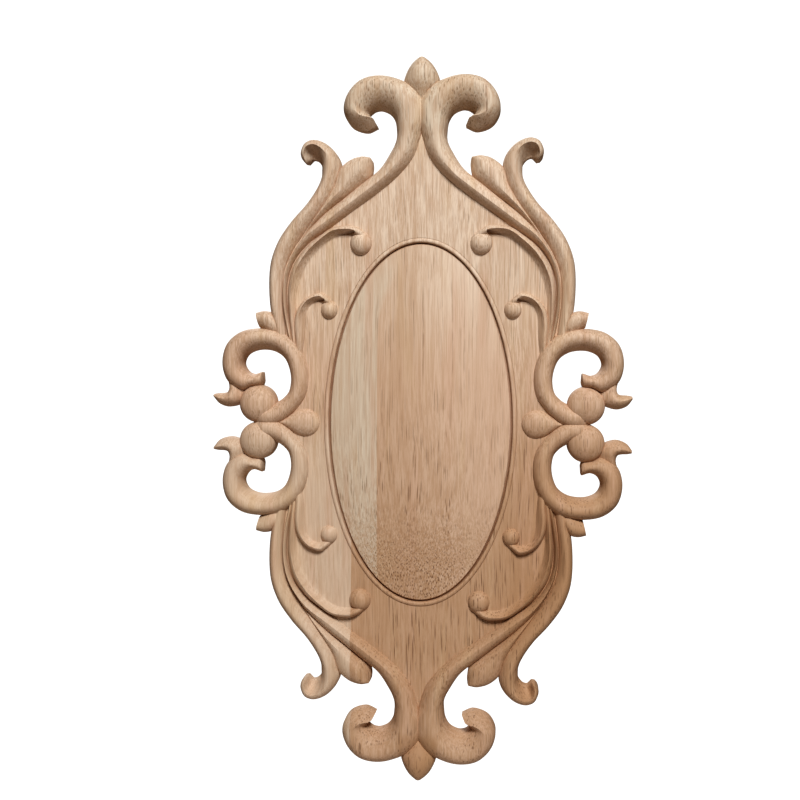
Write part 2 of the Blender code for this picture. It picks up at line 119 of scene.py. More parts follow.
# Each strand is a list of rungs, laid across it from one edge to the other, in millimetres:
# x and z of the first edge, x and z of the second edge, height of the crest, how far across
# the crest lies, and how straight the slopes are from the crest to the first and to the
# second edge: 0 is round like a quarter circle, 1 is a flat chamfer and more is hollow.
MAIN_SCROLL = (
    (30.2, 203.6, 33.2, 208.8, 14.0, 0.80, 0.9, 0.2),
    (38.0, 200.6, 34.9, 210.4, 16.0, 0.82, 0.9, 0.2),
    (48.6, 204.5, 35.8, 211.0, 17.5, 0.70, 0.6, 0.3),
    (53.8, 214.5, 35.8, 212.4, 18.4, 0.46, 0.1, 0.4),
    (51.0, 226.0, 34.3, 213.8, 18.8, 0.36, 0.0, 0.3),
    (42.0, 235.2, 31.7, 215.3, 19.0, 0.33, 0.0, 0.2),
    (29.5, 238.0, 27.5, 215.6, 19.0, 0.33, 0.0, 0.2),
    (16.5, 235.6, 21.8, 212.9, 19.0, 0.40, 0.0, 0.2),
    (4.3, 229.2, 18.3, 207.2, 19.0, 0.54, 0.0, 0.2),
    (-2.0, 219.5, 17.3, 200.0, 18.6, 0.58, 0.0, 0.0),
    (-3.0, 209.0, 17.3, 196.6, 18.5, 0.58, 0.1, 0.0),
    (-1.0, 199.5, 18.0, 193.2, 18.5, 0.55, 0.4, 0.0),
    (4.5, 182.8, 20.8, 187.3, 18.5, 0.45, 0.5, 0.0),
    (16.0, 168.8, 29.1, 174.8, 18.0, 0.42, 0.5, 0.0),
    (31.0, 156.5, 41.5, 165.0, 17.5, 0.42, 0.5, 0.0),
    (47.0, 145.2, 55.5, 154.2, 17.0, 0.42, 0.5, 0.1),
    (63.0, 133.3, 68.5, 144.3, 16.5, 0.43, 0.5, 0.2),
    (78.0, 123.0, 81.2, 130.8, 16.5, 0.52, 0.5, 0.6),
    (88.0, 110.5, 91.8, 113.6, 16.2, 0.52, 0.4, 0.7),
    (92.3, 96.0, 96.0, 96.6, 16.2, 0.52, 0.4, 0.7),
    (92.0, 78.0, 95.6, 77.0, 15.7, 0.52, 0.4, 0.7),
    (87.0, 52.0, 91.0, 50.0, 13.0, 0.50, 0.4, 0.6),
)
SHOULDER_SCROLL = (
    (80.8, 179.5, 78.4, 179.1, 12.5, 0.50, 0.0, 0.3),
    (82.8, 182.2, 76.8, 180.8, 15.0, 0.40, 0.0, 0.8),
    (83.3, 186.8, 75.6, 181.9, 16.4, 0.36, 0.0, 1.2),
    (80.2, 192.8, 74.2, 182.0, 17.0, 0.32, 0.0, 1.5),
    (73.5, 194.8, 72.0, 181.0, 17.4, 0.32, 0.0, 1.3),
    (64.7, 191.4, 69.4, 177.8, 17.5, 0.38, 0.0, 0.7),
    (57.7, 183.6, 69.0, 174.4, 17.5, 0.45, 0.1, 0.2),
    (55.5, 174.0, 69.4, 168.7, 17.5, 0.55, 0.4, 0.1),
    (59.5, 158.5, 72.7, 161.2, 17.0, 0.58, 0.4, 0.0),
    (69.3, 144.0, 79.7, 151.0, 17.0, 0.58, 0.4, 0.0),
    (80.0, 131.5, 90.4, 139.1, 16.5, 0.58, 0.4, 0.0),
    (89.0, 117.5, 99.8, 125.2, 16.5, 0.58, 0.4, 0.0),
    (94.5, 103.0, 105.2, 108.6, 16.0, 0.58, 0.4, 0.0),
    (95.5, 84.0, 105.5, 84.0, 16.0, 0.55, 0.4, 0.0),
    (93.0, 60.0, 101.5, 60.0, 14.5, 0.50, 0.2, 0.0),
)
LEAF = (
    (33.9, 180.5, 35.2, 182.4, 12.5, 0.60, 0.6, 0.0),
    (33.6, 176.0, 41.0, 183.2, 15.5, 0.62, 0.6, 0.0),
    (35.5, 168.0, 49.0, 181.0, 17.0, 0.48, 0.6, 0.0),
    (42.0, 162.5, 56.5, 174.5, 17.0, 0.42, 0.6, 0.0),
    (50.0, 156.0, 60.5, 164.0, 16.5, 0.45, 0.6, 0.1),
    (57.5, 150.5, 65.0, 155.5, 16.5, 0.50, 0.6, 0.2),
    (65.0, 144.0, 70.0, 147.5, 15.5, 0.60, 0.6, 0.4),
    (72.0, 137.5, 75.5, 140.0, 13.8, 0.60, 0.6, 0.6),
    (78.5, 130.0, 81.0, 132.0, 11.5, 0.60, 0.6, 0.6),
    (84.5, 121.5, 86.5, 123.5, 9.2, 0.60, 0.6, 0.6),
)
UPPER_VOLUTE = (
    (39.6, 124.4, 36.4, 127.6, 12.0, 0.50, 0.0, 0.0),
    (41.6, 126.6, 38.0, 130.6, 13.6, 0.50, 0.0, 0.0),
    (45.0, 128.6, 42.0, 133.8, 15.4, 0.50, 0.3, 0.0),
    (50.0, 129.0, 48.0, 136.2, 16.2, 0.56, 1.0, 0.0),
    (58.3, 127.6, 61.0, 134.8, 16.6, 0.62, 1.3, 0.2),
    (67.0, 122.0, 70.1, 129.2, 16.8, 0.58, 1.4, 0.3),
    (75.6, 112.6, 80.4, 120.8, 16.8, 0.56, 1.4, 0.4),
    (81.6, 102.2, 89.3, 107.9, 16.6, 0.54, 1.3, 0.5),
    (85.4, 90.2, 92.7, 91.8, 16.2, 0.54, 1.2, 0.5),
    (86.2, 76.0, 92.1, 76.0, 15.5, 0.54, 1.0, 0.5),
    (85.0, 52.0, 89.5, 50.0, 13.0, 0.55, 0.6, 0.5),
)
LOWER_VOLUTE = (
    (61.8, 78.8, 59.4, 81.2, 11.2, 0.50, 0.0, 0.0),
    (63.4, 80.6, 60.6, 83.8, 12.6, 0.50, 0.0, 0.0),
    (66.4, 82.4, 64.0, 87.0, 14.2, 0.50, 0.3, 0.0),
    (70.6, 83.4, 69.2, 90.2, 15.4, 0.58, 1.0, 0.0),
    (76.0, 81.0, 78.5, 87.2, 16.0, 0.60, 1.3, 0.2),
    (79.4, 74.6, 85.3, 79.5, 16.2, 0.58, 1.2, 0.2),
    (80.0, 66.0, 88.2, 68.0, 16.0, 0.56, 1.0, 0.2),
    (80.8, 56.0, 87.5, 57.0, 15.0, 0.55, 0.6, 0.2),
    (82.5, 43.0, 87.5, 42.0, 12.0, 0.55, 0.5, 0.2),
)
RING = (
    (110.7, 34.0, 110.3, 28.5, 12.0, 0.45, 0.0, 0.1),
    (111.2, 35.0, 111.1, 26.0, 14.0, 0.45, 0.0, 0.1),
    (113.2, 34.5, 113.2, 24.5, 15.2, 0.45, 0.1, 0.1),
    (116.6, 33.5, 117.6, 24.3, 16.2, 0.45, 0.2, 0.1),
    (121.0, 35.0, 125.0, 22.0, 17.0, 0.50, 0.0, 0.0),
    (124.0, 39.5, 135.6, 28.8, 17.5, 0.50, 0.0, 0.0),
    (123.8, 43.5, 139.2, 41.0, 18.0, 0.50, 0.0, 0.0),
    (121.0, 47.6, 136.0, 54.3, 18.0, 0.55, 0.0, 0.0),
    (115.5, 50.1, 126.0, 63.0, 18.0, 0.57, 0.1, 0.0),
    (109.0, 50.6, 112.0, 65.6, 18.0, 0.57, 0.2, 0.0),
    (101.9, 49.2, 98.5, 64.0, 18.0, 0.55, 0.2, 0.0),
    (95.6, 45.0, 86.5, 56.0, 17.5, 0.50, 0.1, 0.0),
    (92.2, 38.3, 79.5, 44.0, 17.0, 0.50, 0.0, 0.0),
    (90.8, 30.0, 77.2, 31.0, 17.0, 0.50, 0.0, 0.1),
    (92.2, 21.8, 79.3, 18.5, 16.5, 0.50, 0.0, 0.1),
    (95.8, 17.3, 85.5, 9.2, 16.0, 0.50, 0.0, 0.1),
    (99.8, 14.6, 94.0, 1.5, 16.4, 0.50, 0.0, 0.0),
    (104.6, 12.4, 102.5, -3.0, 16.6, 0.48, 0.0, 0.0),
    (109.5, 11.8, 109.5, -3.6, 16.2, 0.46, 0.0, 0.0),
    (113.4, 10.8, 114.2, -2.6, 13.6, 0.46, 0.0, 0.0),
    (116.2, 9.4, 117.0, -0.6, 10.4, 0.46, 0.0, 0.0),
)
TAIL = (
    (136.0, 31.0, 120.5, 21.0, 12.0, 0.35, 0.2, 0.2),
    (134.5, 25.0, 122.5, 15.5, 14.0, 0.35, 0.2, 0.2),
    (135.4, 21.3, 128.0, 12.0, 15.0, 0.38, 0.2, 0.3),
    (138.0, 20.3, 134.8, 10.5, 14.5, 0.40, 0.2, 0.4),
    (142.0, 20.1, 141.6, 12.8, 13.5, 0.40, 0.2, 0.4),
    (144.7, 19.6, 145.0, 17.0, 12.0, 0.40, 0.2, 0.2),
)
SIDE_LEAF = (
    (112.5, 66.0, 114.8, 76.2, 14.0, 0.60, 0.4, 0.0),
    (108.0, 63.0, 109.5, 77.4, 15.5, 0.60, 0.3, 0.0),
    (103.0, 60.0, 104.0, 76.4, 16.0, 0.60, 0.3, 0.0),
    (98.0, 58.0, 99.5, 72.0, 14.0, 0.60, 0.3, 0.0),
)
BUD = (
    (-0.4, 249.9, 0.4, 249.9, 11.5, 0.50, 0.0, 0.0),
    (-2.8, 249.2, 2.8, 249.2, 13.5, 0.50, 0.0, 0.0),
    (-7.4, 245.2, 7.4, 245.2, 16.5, 0.50, 0.0, 0.0),
    (-11.0, 239.0, 11.0, 239.0, 18.5, 0.50, 0.1, 0.1),
    (-12.5, 232.5, 12.5, 232.5, 17.8, 0.50, 0.2, 0.2),
    (-9.5, 226.5, 9.5, 226.5, 15.2, 0.50, 0.3, 0.3),
    (-4.0, 220.0, 4.0, 220.0, 12.0, 0.50, 0.3, 0.3),
)
CHEEK = (
    (69.9, 1.8, 69.9, -1.8, 10.8, 0.50, 0.0, 0.0),
    (71.2, 5.2, 71.2, -5.2, 12.4, 0.50, 0.0, 0.0),
    (74.6, 8.6, 74.6, -8.6, 14.2, 0.50, 0.0, 0.0),
    (79.6, 10.0, 79.6, -10.0, 15.0, 0.50, 0.0, 0.0),
    (85.2, 9.0, 85.2, -9.0, 15.0, 0.50, 0.1, 0.1),
    (91.0, 5.6, 91.0, -5.6, 14.2, 0.50, 0.2, 0.2),
    (96.0, 2.2, 96.0, -2.2, 12.8, 0.50, 0.3, 0.3),
    (100.0, 0.8, 100.0, -0.8, 11.4, 0.50, 0.3, 0.3),
)
STRANDS = {
    "main_scroll": MAIN_SCROLL,
    "shoulder_scroll": SHOULDER_SCROLL,
    "leaf": LEAF,
    "upper_volute": UPPER_VOLUTE,
    "lower_volute": LOWER_VOLUTE,
    "ring": RING,
    "tail": TAIL,
    "side_leaf": SIDE_LEAF,
    "bud": BUD,
    "cheek": CHEEK,
}

# Heights of a strand's first and second edge, where they aren't the usual wall height.
EDGE_HEIGHTS = {
    "main_scroll": (8.6, 5.0),
    "shoulder_scroll": (9.0, 6.5),
    "upper_volute": (10.2, 9.0),
    "lower_volute": (10.2, 9.0),
    "ring": (5.5, 7.0),
    "tail": (7.0, 7.0),
    "bud": (7.0, 7.0),
}

# The field is hidden under the strands at its edge, so a plain outline will do.
FIELD_OUTLINE = (
    (-5.0, -5.0), (107.0, -5.0), (96.0, 7.0), (83.0, 40.0), (99.0, 60.0), (99.0, 97.0),
    (90.0, 118.0), (70.0, 145.0), (48.0, 160.0), (25.0, 172.0), (10.0, 188.0), (6.0, 206.0),
    (-5.0, 206.0),
)

# Bosses: middle x and z, half width, half height, crest height, and how softly the foot runs
# out: 1 for a ball, and more for a softer foot.
BOSSES = {
    "ring_ball": (113.8, 12.9, 12.8, 13.1, 18.2, 1.0),
    "upper_ball": (41.4, 123.6, 7.8, 8.3, 16.4, 1.1),
    "lower_ball": (63.3, 78.2, 6.2, 6.6, 15.4, 1.1),
}

# Deep cuts under the rims of the upper half's volutes: x and z of both ends of each rung, and
# the cut's lowest height.
CUTS = {
    "upper_cut": (
        (45.0, 130.6, 45.4, 132.4, 10.4),
        (47.6, 129.2, 47.9, 132.4, 9.6),
        (52.0, 128.6, 52.3, 131.4, 9.8),
        (57.4, 127.7, 57.9, 129.9, 10.6),
    ),
    "lower_cut": (
        (66.0, 84.2, 66.3, 85.6, 10.6),
        (68.4, 83.2, 68.5, 86.0, 9.8),
        (72.2, 82.6, 72.6, 85.1, 10.0),
        (76.2, 80.6, 77.0, 82.4, 10.6),
    ),
}
CUT_TOP = 25.0
CUT_ROUND = 1.2

# The camera, as the photograph was taken: nearly square on, a little from the right and above.
# The lens and sensor are in millimetres, places in metres and the picture in pixels.
CAMERA_LENS = 50.0
CAMERA_SENSOR = 36.0
CAMERA_DISTANCE = 0.768
CAMERA_TURN = radians(4.5)
CAMERA_RISE = radians(2.5)
CAMERA_ROLL = radians(0.3)
CAMERA_AIM = Vector((0.0, -0.010, 0.0))
PICTURE_SIZE = 800.0
PICTURE_MIDDLE = (420.0, 423.4)

# Rubberwood tones.
CREAM = (0.735, 0.595, 0.462, 1.0)
TAN = (0.705, 0.528, 0.385, 1.0)
PALE = (0.680, 0.580, 0.452, 1.0)
PINK = (0.645, 0.455, 0.328, 1.0)
ROSE = (0.600, 0.390, 0.270, 1.0)
STRAW = (0.640, 0.470, 0.290, 1.0)
BROWN = (0.440, 0.255, 0.130, 1.0)
STREAK = (0.420, 0.245, 0.130, 1.0)
PORE = (0.150, 0.070, 0.028, 1.0)
# Brown for end grain, used also as painted shade on undersides.
END_GRAIN_AND_SHADE = (0.400, 0.225, 0.125, 1.0)
# Painted shade for the creases.
CREASE_SHADE = (0.360, 0.165, 0.075, 1.0)

# Joints between the strips that the blank was glued up from, in millimetres. Towards its top
# the dome's joint bends to the right and gets softer.
FIELD_JOINT_X = -47.6
JOINT_BLUR = 0.3
DOME_JOINT_X = -29.5
DOME_JOINT_BEND = 32.0
DOME_BEND_Z = (64.0, 164.0)
DOME_BLUR_Z = (44.0, 114.0, 0.3, 4.0)
DOME_STRIP_Z = (120.0, 88.0)

# Where a tone starts and where it is full along X or Z, in millimetres. Where two more numbers
# follow, they are its shares at those two places.
CREAM_Z = (20.0, 115.0)
DOME_PINK_X = (20.0, 45.0, 0.6, 0.8)
DOME_BROWN_X = (30.0, -14.0, 0.0, 0.26)
DOME_BROWN_Z = (-20.0, -118.0, 0.0, 0.17)
DOME_STRIP_BROWN_X = (-40.0, -58.0, 0.0, 0.14)
FIELD_PINK_Z = (80.0, 40.0, 0.0, 0.6)
FIELD_BROWN_Z = (60.0, -120.0, 0.0, 0.60)
FIELD_END_Z = (-150.0, -210.0, 1.0, 0.7)
FIELD_STRIP_PALE_Z = (10.0, -20.0, 0.0, 0.5)
HOOKS_PALE_Z = (160.0, 210.0)
RIGHT_BROWN_X = (45.0, 75.0)
RIGHT_BROWN_Z = (25.0, -45.0)
LOW_BUD_BROWN_X = (16.0, 11.0)
LOW_BUD_BROWN_Z = (-212.0, -222.0)
LOW_LEFT_STRAW_X = (-76.0, -90.0)
LOW_LEFT_STRAW_Z = (-30.0, -60.0)

# How strong a tone is where it is full, and how much of it reaches the paler strips.
RIGHT_BROWN_SHARE = 0.34
LOW_BUD_BROWN_SHARE = 0.9
LOW_LEFT_STRAW_SHARE = 0.4
DOME_STRIP_LOW_SHARE = 0.7
FIELD_STRIP_LESS_BROWN = 0.9

# The value that all noise keeps to on average, and the detail of the finest noise.
NOISE_MIDDLE = 0.5
FINE_DETAIL = 3.0

# Slow changes of hue: how fast they run across and along the grain, per millimetre, and the
# values of the noise between which each tone comes in, with its shares.
HUE_SCALE = (0.075, 0.007)
HUE_STRAW = (0.46, 0.30, 0.0, 0.4)
HUE_ROSE = (0.54, 0.70, 0.0, 0.45)

# The log that the wood came from, in millimetres: where its heart lies, and how the grain leans
# and wanders sideways and in depth.
HEART_X = 24.0
HEART_RADIUS = 60.0
SIDE_LEAN = 0.012
DIVE = 0.045
WANDER_STRETCH = 0.3
SIDE_WANDER = 6.0
SIDE_WANDER_SCALE = 0.03
DIVE_WANDER = 8.0
DIVE_WANDER_SCALE = 0.018

# Towards the dome's lower end the grain dives, so that its pores are cut across and show as dots.
DOTS_START = -45.0
DOTS_END = -105.0
DOTS_DIVE = 0.2

# Where the grain is calmer, quieter or coarser, given as for the tones above.
CALM_STRIP_Z = (20.0, -50.0)
CALM_STRIP_SHARE = 0.7
COARSE_Z = (30.0, -90.0)
QUIET_RIGHT_X = (15.0, 40.0)
QUIET_LEFT_X = (-26.0, -34.0, 0.0, 0.6)
QUIET_SHARE = 0.35

# Bands of growth and fine fibres.
BAND_SCALE = (0.30, 0.004)
BAND_NOISE = (0.40, 0.68)
BAND_SHARE = 0.28
FIBRE_SCALE = 0.95
FIBRE_STRETCH = 0.022
FIBRE_ROUGHNESS = 0.8
FIBRE_NOISE = (0.40, 0.60)
FIBRE_SHARE = 0.50
FIBRE_COARSE_MORE = 0.16
FIBRE_DOME_LESS = 0.10
FIBRE_DOTS_MORE = 0.32
FIBRE_CALM_SHARE = 0.75

# Open pores: how many there are per millimetre, how large, and where they are thick or thin.
PORE_SCALE = 0.62
DOT_SCALE = 0.95
PORE_EDGE = (0.34, 0.12)
PATCH_SCALE = (0.10, 0.012)
PATCH_NOISE = (0.40, 0.58, 0.35, 1.0)
BREAK_SCALE = 0.45
BREAK_STRETCH = 0.15
BREAK_NOISE = (0.38, 0.58)
CLUMP_SCALE = 0.3
CLUMP_ROUGHNESS = 0.7
CLUMP_NOISE = (0.38, 0.62, 0.4, 1.8)
DOT_SHARE = 0.8
PORE_SHARE = 0.45
PORE_COARSE_MORE = 0.45
PORE_TOP_Z = (170.0, 205.0, 0.0, 0.3)
PORE_DARKNESS = 0.8

# The cut surface: end grain by the slope of the surface, with painted shade on undersides,
# painted shade in the creases by how open they are and how near their other side is, in
# millimetres, and a fine fuzz.
END_GRAIN_POWER = 1.2
END_GRAIN_AND_SHADE_SLOPE = (0.2, -0.2, 0.1, 0.42)
CREASE_REACH = 2.5
CREASE_SAMPLES = 8
CREASE_OPENNESS = (0.75, 0.25, 0.0, 0.28)
FUZZ_SCALE = 2.2
FUZZ_STRETCH = 0.4
FUZZ_ROUGHNESS = 0.6
FUZZ_RISE = 0.25
BUMP_STRENGTH = 0.5
BUMP_RISE = 0.2
SMOOTHEST = 0.55
FUZZ_DULLNESS = 0.2
GLOSS = 0.4

# Studio, in metres and watts: each light's place, size and power.
LIGHTS = {
    "key": ((0.40, -1.70, 1.45), 0.6, 49.0),
    "back_light": ((-0.6, 1.8, 1.4), 1.0, 20.0),
    "low_fill": ((0.0, -0.30, -0.50), 0.3, 0.09),
}
FILL_COLOUR = (0.072, 0.041, 0.022, 1.0)
WHITE = (1.0, 1.0, 1.0, 1.0)
FLOOR_COLOUR = (0.86, 0.83, 0.79, 1.0)
FLOOR_ROUGHNESS = 0.8
FLOOR_RADIUS = 0.8
FLOOR_LEVEL = -0.85
FLOOR_STEPS = 96


def add_mesh(name, collection, bm):
    """Turn a bmesh in millimetres into a smooth object in metres."""
    bmesh.ops.recalc_face_normals(bm, faces=bm.faces)
    bmesh.ops.scale(bm, vec=(MM, MM, MM), verts=bm.verts)
    mesh = bpy.data.meshes.new(name)
    bm.to_mesh(mesh)
    bm.free()
    mesh.shade_smooth()
    thing = bpy.data.objects.new(name, mesh)
    collection.objects.link(thing)
    return thing


def middle(rung):
    """The point half way along a rung."""
    return (rung[0] + rung[2]) / 2, (rung[1] + rung[3]) / 2


def slope(rungs, places, i):
    """How fast each value changes at rung i, from its neighbours on either side."""
    before = max(i - 1, 0)
    after = min(i + 1, len(rungs) - 1)
    run = places[after] - places[before]
    return [(b - a) / run for a, b in zip(rungs[before], rungs[after])]


def between(rungs, places, i, t):
    """The rung a share t of the way from rung i to the next, on smooth curves."""
    run = places[i + 1] - places[i]
    starts = slope(rungs, places, i)
    ends = slope(rungs, places, i + 1)
    rung = []
    for a, b, s, e in zip(rungs[i], rungs[i + 1], starts, ends):
        rise = (2 * t ** 3 - 3 * t ** 2 + 1) * a + (3 * t ** 2 - 2 * t ** 3) * b
        bend = (t ** 3 - 2 * t ** 2 + t) * s + (t ** 3 - t ** 2) * e
        rung.append(rise + run * bend)
    return rung


def facets_needed(near, far, start, end):
    """Facets between two rungs, from the length and turn of the longer edge."""
    edges = []
    for x, z in ((0, 1), (2, 3)):
        length = hypot(far[x] - near[x], far[z] - near[z])
        turn = abs(atan2(end[z], end[x]) - atan2(start[z], start[x]))
        edges.append((length, min(turn, 2 * pi - turn)))
    length, turn = max(edges)
    return max(ceil(length / STRAND_STEP), ceil(turn / STRAND_TURN))


def smooth_rungs(rungs):
    """Add rungs where the edges are long or turn, so that both edges run smoothly."""
    places = [0.0]
    for near, far in zip(rungs, rungs[1:]):
        x0, z0 = middle(near)
        x1, z1 = middle(far)
        places.append(places[-1] + hypot(x1 - x0, z1 - z0))
    slopes = [slope(rungs, places, i) for i in range(len(rungs))]
    fine = []
    for i in range(len(rungs) - 1):
        count = facets_needed(rungs[i], rungs[i + 1], slopes[i], slopes[i + 1])
        fine += [between(rungs, places, i, n / count) for n in range(count)]
    fine.append(list(rungs[-1]))
    return fine


def rise_share(share, straight):
    """Share of the full rise at a share of the way from the crest to an edge."""
    return (1 - share ** (2 - straight)) ** (0.5 + straight / 2)


def section(rung, first_edge, second_edge):
    """Points round one cross-section: the carved front, then the two back corners."""
    x0, z0, x1, z1, crest, lean, first_straight, second_straight = rung
    shares = [sin(pi / 2 * i / SECTION_STEPS) for i in range(SECTION_STEPS + 1)]
    profile = []
    for share in reversed(shares):
        height = first_edge + (crest - first_edge) * rise_share(share, first_straight)
        profile.append((lean * (1 - share), height))
    for share in shares[1:]:
        height = second_edge + (crest - second_edge) * rise_share(share, second_straight)
        profile.append((lean + (1 - lean) * share, height))
    points = [(x0 + (x1 - x0) * t, -height, z0 + (z1 - z0) * t) for t, height in profile]
    points.append((x1, BACK_OVERLAP, z1))
    points.append((x0, BACK_OVERLAP, z0))
    return points


def loft(name, collection, loops):
    """Join closed loops of points, first to last, and cap both ends."""
    bm = bmesh.new()
    rows = [[bm.verts.new(point) for point in loop] for loop in loops]
    for near, far in zip(rows, rows[1:]):
        for i in range(len(near)):
            j = (i + 1) % len(near)
            bm.faces.new((near[i], near[j], far[j], far[i]))
    bm.faces.new(rows[0])
    bm.faces.new(rows[-1])
    return add_mesh(name, collection, bm)


def strand(name, collection, rungs):
    """A carved strand through its rungs."""
    edges = EDGE_HEIGHTS.get(name, (WALL_HEIGHT, WALL_HEIGHT))
    return loft(name, collection, [section(rung, *edges) for rung in smooth_rungs(rungs)])


def cut_section(rung):
    """Points round one cross-section of a cutter with a rounded lower edge."""
    x0, z0, x1, z1, bottom = rung
    x, z = middle(rung)
    side = -(bottom + CUT_ROUND)
    return [
        (x0, -CUT_TOP, z0), (x0, side, z0), (x, -bottom, z), (x1, side, z1), (x1, -CUT_TOP, z1),
    ]


def cutter(name, collection, rungs, side):
    """The block that a gouge would sweep through its rungs, on the right (1) or the left (-1)."""
    rungs = [(side * x0, z0, side * x1, z1, bottom) for x0, z0, x1, z1, bottom in rungs]
    return loft(name, collection, [cut_section(rung) for rung in smooth_rungs(rungs)])


def oval(x, z, half_width, half_height, height, steps):
    """Points round an upright oval at one height above the back."""
    points = []
    for i in range(steps):
        angle = 2 * pi * i / steps
        points.append((x + half_width * cos(angle), -height, z + half_height * sin(angle)))
    return points


def boss(name, collection, sizes):
    """A ball or egg that stands half out of the wood."""
    x, z, half_width, half_height, crest, softness = sizes
    loops = []
    for i in range(1, BALL_RINGS + 1):
        angle = pi / 2 * i / BALL_RINGS
        height = WALL_HEIGHT + (crest - WALL_HEIGHT) * max(cos(angle), 0.0) ** softness
        share = sin(angle)
        loops.append(oval(x, z, half_width * share, half_height * share, height, BALL_STEPS))
    loops.append(oval(x, z, half_width, half_height, -BACK_OVERLAP, BALL_STEPS))
    return loft(name, collection, loops)


def oval_row(offset, height):
    """An oval a fixed distance outside the middle of the groove."""
    return oval(0.0, 0.0, OVAL_HALF_WIDTH + offset, OVAL_HALF_HEIGHT + offset, height, OVAL_STEPS)


def medallion(name, collection):
    """The shallow dome, the groove round it and the bead outside that."""
    loops = []
    for i in range(1, DOME_RINGS + 1):
        share = i / DOME_RINGS
        half_width = share * (OVAL_HALF_WIDTH - GROOVE_HALF_WIDTH)
        half_height = share * (OVAL_HALF_HEIGHT - GROOVE_HALF_WIDTH)
        height = FIELD_HEIGHT + DOME_RISE * (1 - share ** 2)
        loops.append(oval(0.0, 0.0, half_width, half_height, height, OVAL_STEPS))
    loops.append(oval_row(GROOVE_LEAN, FIELD_HEIGHT - GROOVE_DEPTH))
    for i in range(BEAD_RINGS + 1):
        angle = pi * i / BEAD_RINGS
        foot = FIELD_HEIGHT - BEAD_STEP * i / BEAD_RINGS
        offset = GROOVE_HALF_WIDTH + BEAD_WIDTH * (1 - cos(angle)) / 2
        loops.append(oval_row(offset, foot + BEAD_RISE * sin(angle)))
    loops.append(oval_row(GROOVE_HALF_WIDTH + BEAD_WIDTH, -BACK_OVERLAP))
    return loft(name, collection, loops)


def oval_opening(name, collection):
    """The hole in the field that the medallion fills, just inside the bead's outer edge."""
    offset = GROOVE_HALF_WIDTH + BEAD_WIDTH * OPENING_SHARE
    return loft(name, collection, (oval_row(offset, BOARD_SIZE), oval_row(offset, -BOARD_SIZE)))


def prism(name, collection, outline):
    """A straight-sided block with the given outline."""
    front = [(x, -BOARD_SIZE, z) for x, z in outline]
    back = [(x, BOARD_SIZE, z) for x, z in outline]
    return loft(name, collection, (front, back))


def gridded_board(name, collection):
    """A slab with a finely divided front, so that the field shades softly at the carving."""
    bm = bmesh.new()
    cells = round(BOARD_SIZE / FIELD_CELL)
    made = bmesh.ops.create_grid(bm, x_segments=cells, y_segments=cells, size=BOARD_SIZE / 2)
    for vert in made["verts"]:
        x, z = vert.co.x, vert.co.y
        vert.co = (x + BOARD_SIZE / 2 - GRID_SKEW, -FIELD_HEIGHT, z + BOARD_SIZE / 2 - GRID_SKEW)
    extruded = bmesh.ops.extrude_face_region(bm, geom=bm.faces[:])
    moved = [item for item in extruded["geom"] if isinstance(item, bmesh.types.BMVert)]
    bmesh.ops.translate(bm, vec=(0.0, FIELD_HEIGHT + BACK_OVERLAP, 0.0), verts=moved)
    return add_mesh(name, collection, bm)


def front_space(name, collection):
    """All the space in front of the flat back."""
    bm = bmesh.new()
    bmesh.ops.create_cube(bm, size=2.0 * BOARD_SIZE)
    bmesh.ops.translate(bm, vec=(0.0, -BOARD_SIZE, 0.0), verts=bm.verts)
    return add_mesh(name, collection, bm)


def boolean(thing, operation, tool):
    """Cut, keep or add another object or a whole collection."""
    modifier = thing.modifiers.new(tool.name, 'BOOLEAN')
    modifier.operation = operation
    modifier.solver = 'MANIFOLD'
    if isinstance(tool, bpy.types.Collection):
        modifier.operand_type = 'COLLECTION'
        modifier.collection = tool
    else:
        modifier.object = tool


def new_collection(name):
    """Add a collection to the scene."""
    collection = bpy.data.collections.new(name)
    bpy.context.scene.collection.children.link(collection)
    return collection


def carve():
    """Join the quarter's forms, mirror them, make the cuts and return the finished mesh."""
    forms = new_collection("forms")
    tools = new_collection("tools")
    for name, rungs in STRANDS.items():
        strand(name, forms, rungs)
    for name, sizes in BOSSES.items():
        boss(name, forms, sizes)
    medallion("medallion", forms)

    # Both sides of the cuts are made here, because they come after the mirror.
    cuts = new_collection("cuts")
    for name, rungs in CUTS.items():
        for side in (1, -1):
            cutter(name, cuts, rungs, side)

    board = gridded_board("board", tools)
    boolean(board, 'INTERSECT', prism("outline", tools, FIELD_OUTLINE))
    boolean(board, 'DIFFERENCE', oval_opening("opening", tools))
    boolean(board, 'UNION', forms)
    boolean(board, 'INTERSECT', front_space("trim", tools))
    mirror = board.modifiers.new("mirror", 'MIRROR')
    mirror.use_axis = (True, False, True)
    mirror.use_bisect_axis = (True, False, True)
    mirror.bisect_threshold = MIRROR_REACH
    mirror.merge_threshold = MERGE_REACH
    boolean(board, 'DIFFERENCE', cuts)

    bpy.context.view_layer.update()
    evaluated = board.evaluated_get(bpy.context.evaluated_depsgraph_get())
    mesh = bpy.data.meshes.new_from_object(evaluated)
    for collection in (forms, tools, cuts):
        for thing in list(collection.objects):
            bpy.data.objects.remove(thing, do_unlink=True)
        bpy.data.collections.remove(collection)
    return mesh


def fit_to_box(mesh, box):
    """Bring the mesh to the solid's own size, which is a hair smaller or larger."""
    low, high = (Vector(corner) for corner in box)
    for axis in range(3):
        values = [vert.co[axis] for vert in mesh.vertices]
        least, most = min(values), max(values)
        scale = (high[axis] - low[axis]) / (most - least)
        for vert in mesh.vertices:
            vert.co[axis] = low[axis] + (vert.co[axis] - least) * scale


def make_applique(material):
    """The carved piece that stands for the solid."""
    mesh = carve()
    fit_to_box(mesh, cad_box)
    mesh.name = "applique"
    mesh.materials.clear()
    mesh.materials.append(material)
    mesh.shade_smooth()
    mesh.set_sharp_from_angle(angle=SHARP_ANGLE)
    piece = bpy.data.objects.new("applique", mesh)
    bpy.context.scene.collection.objects.link(piece)
    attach(piece, BODY)
    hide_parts(NODE)


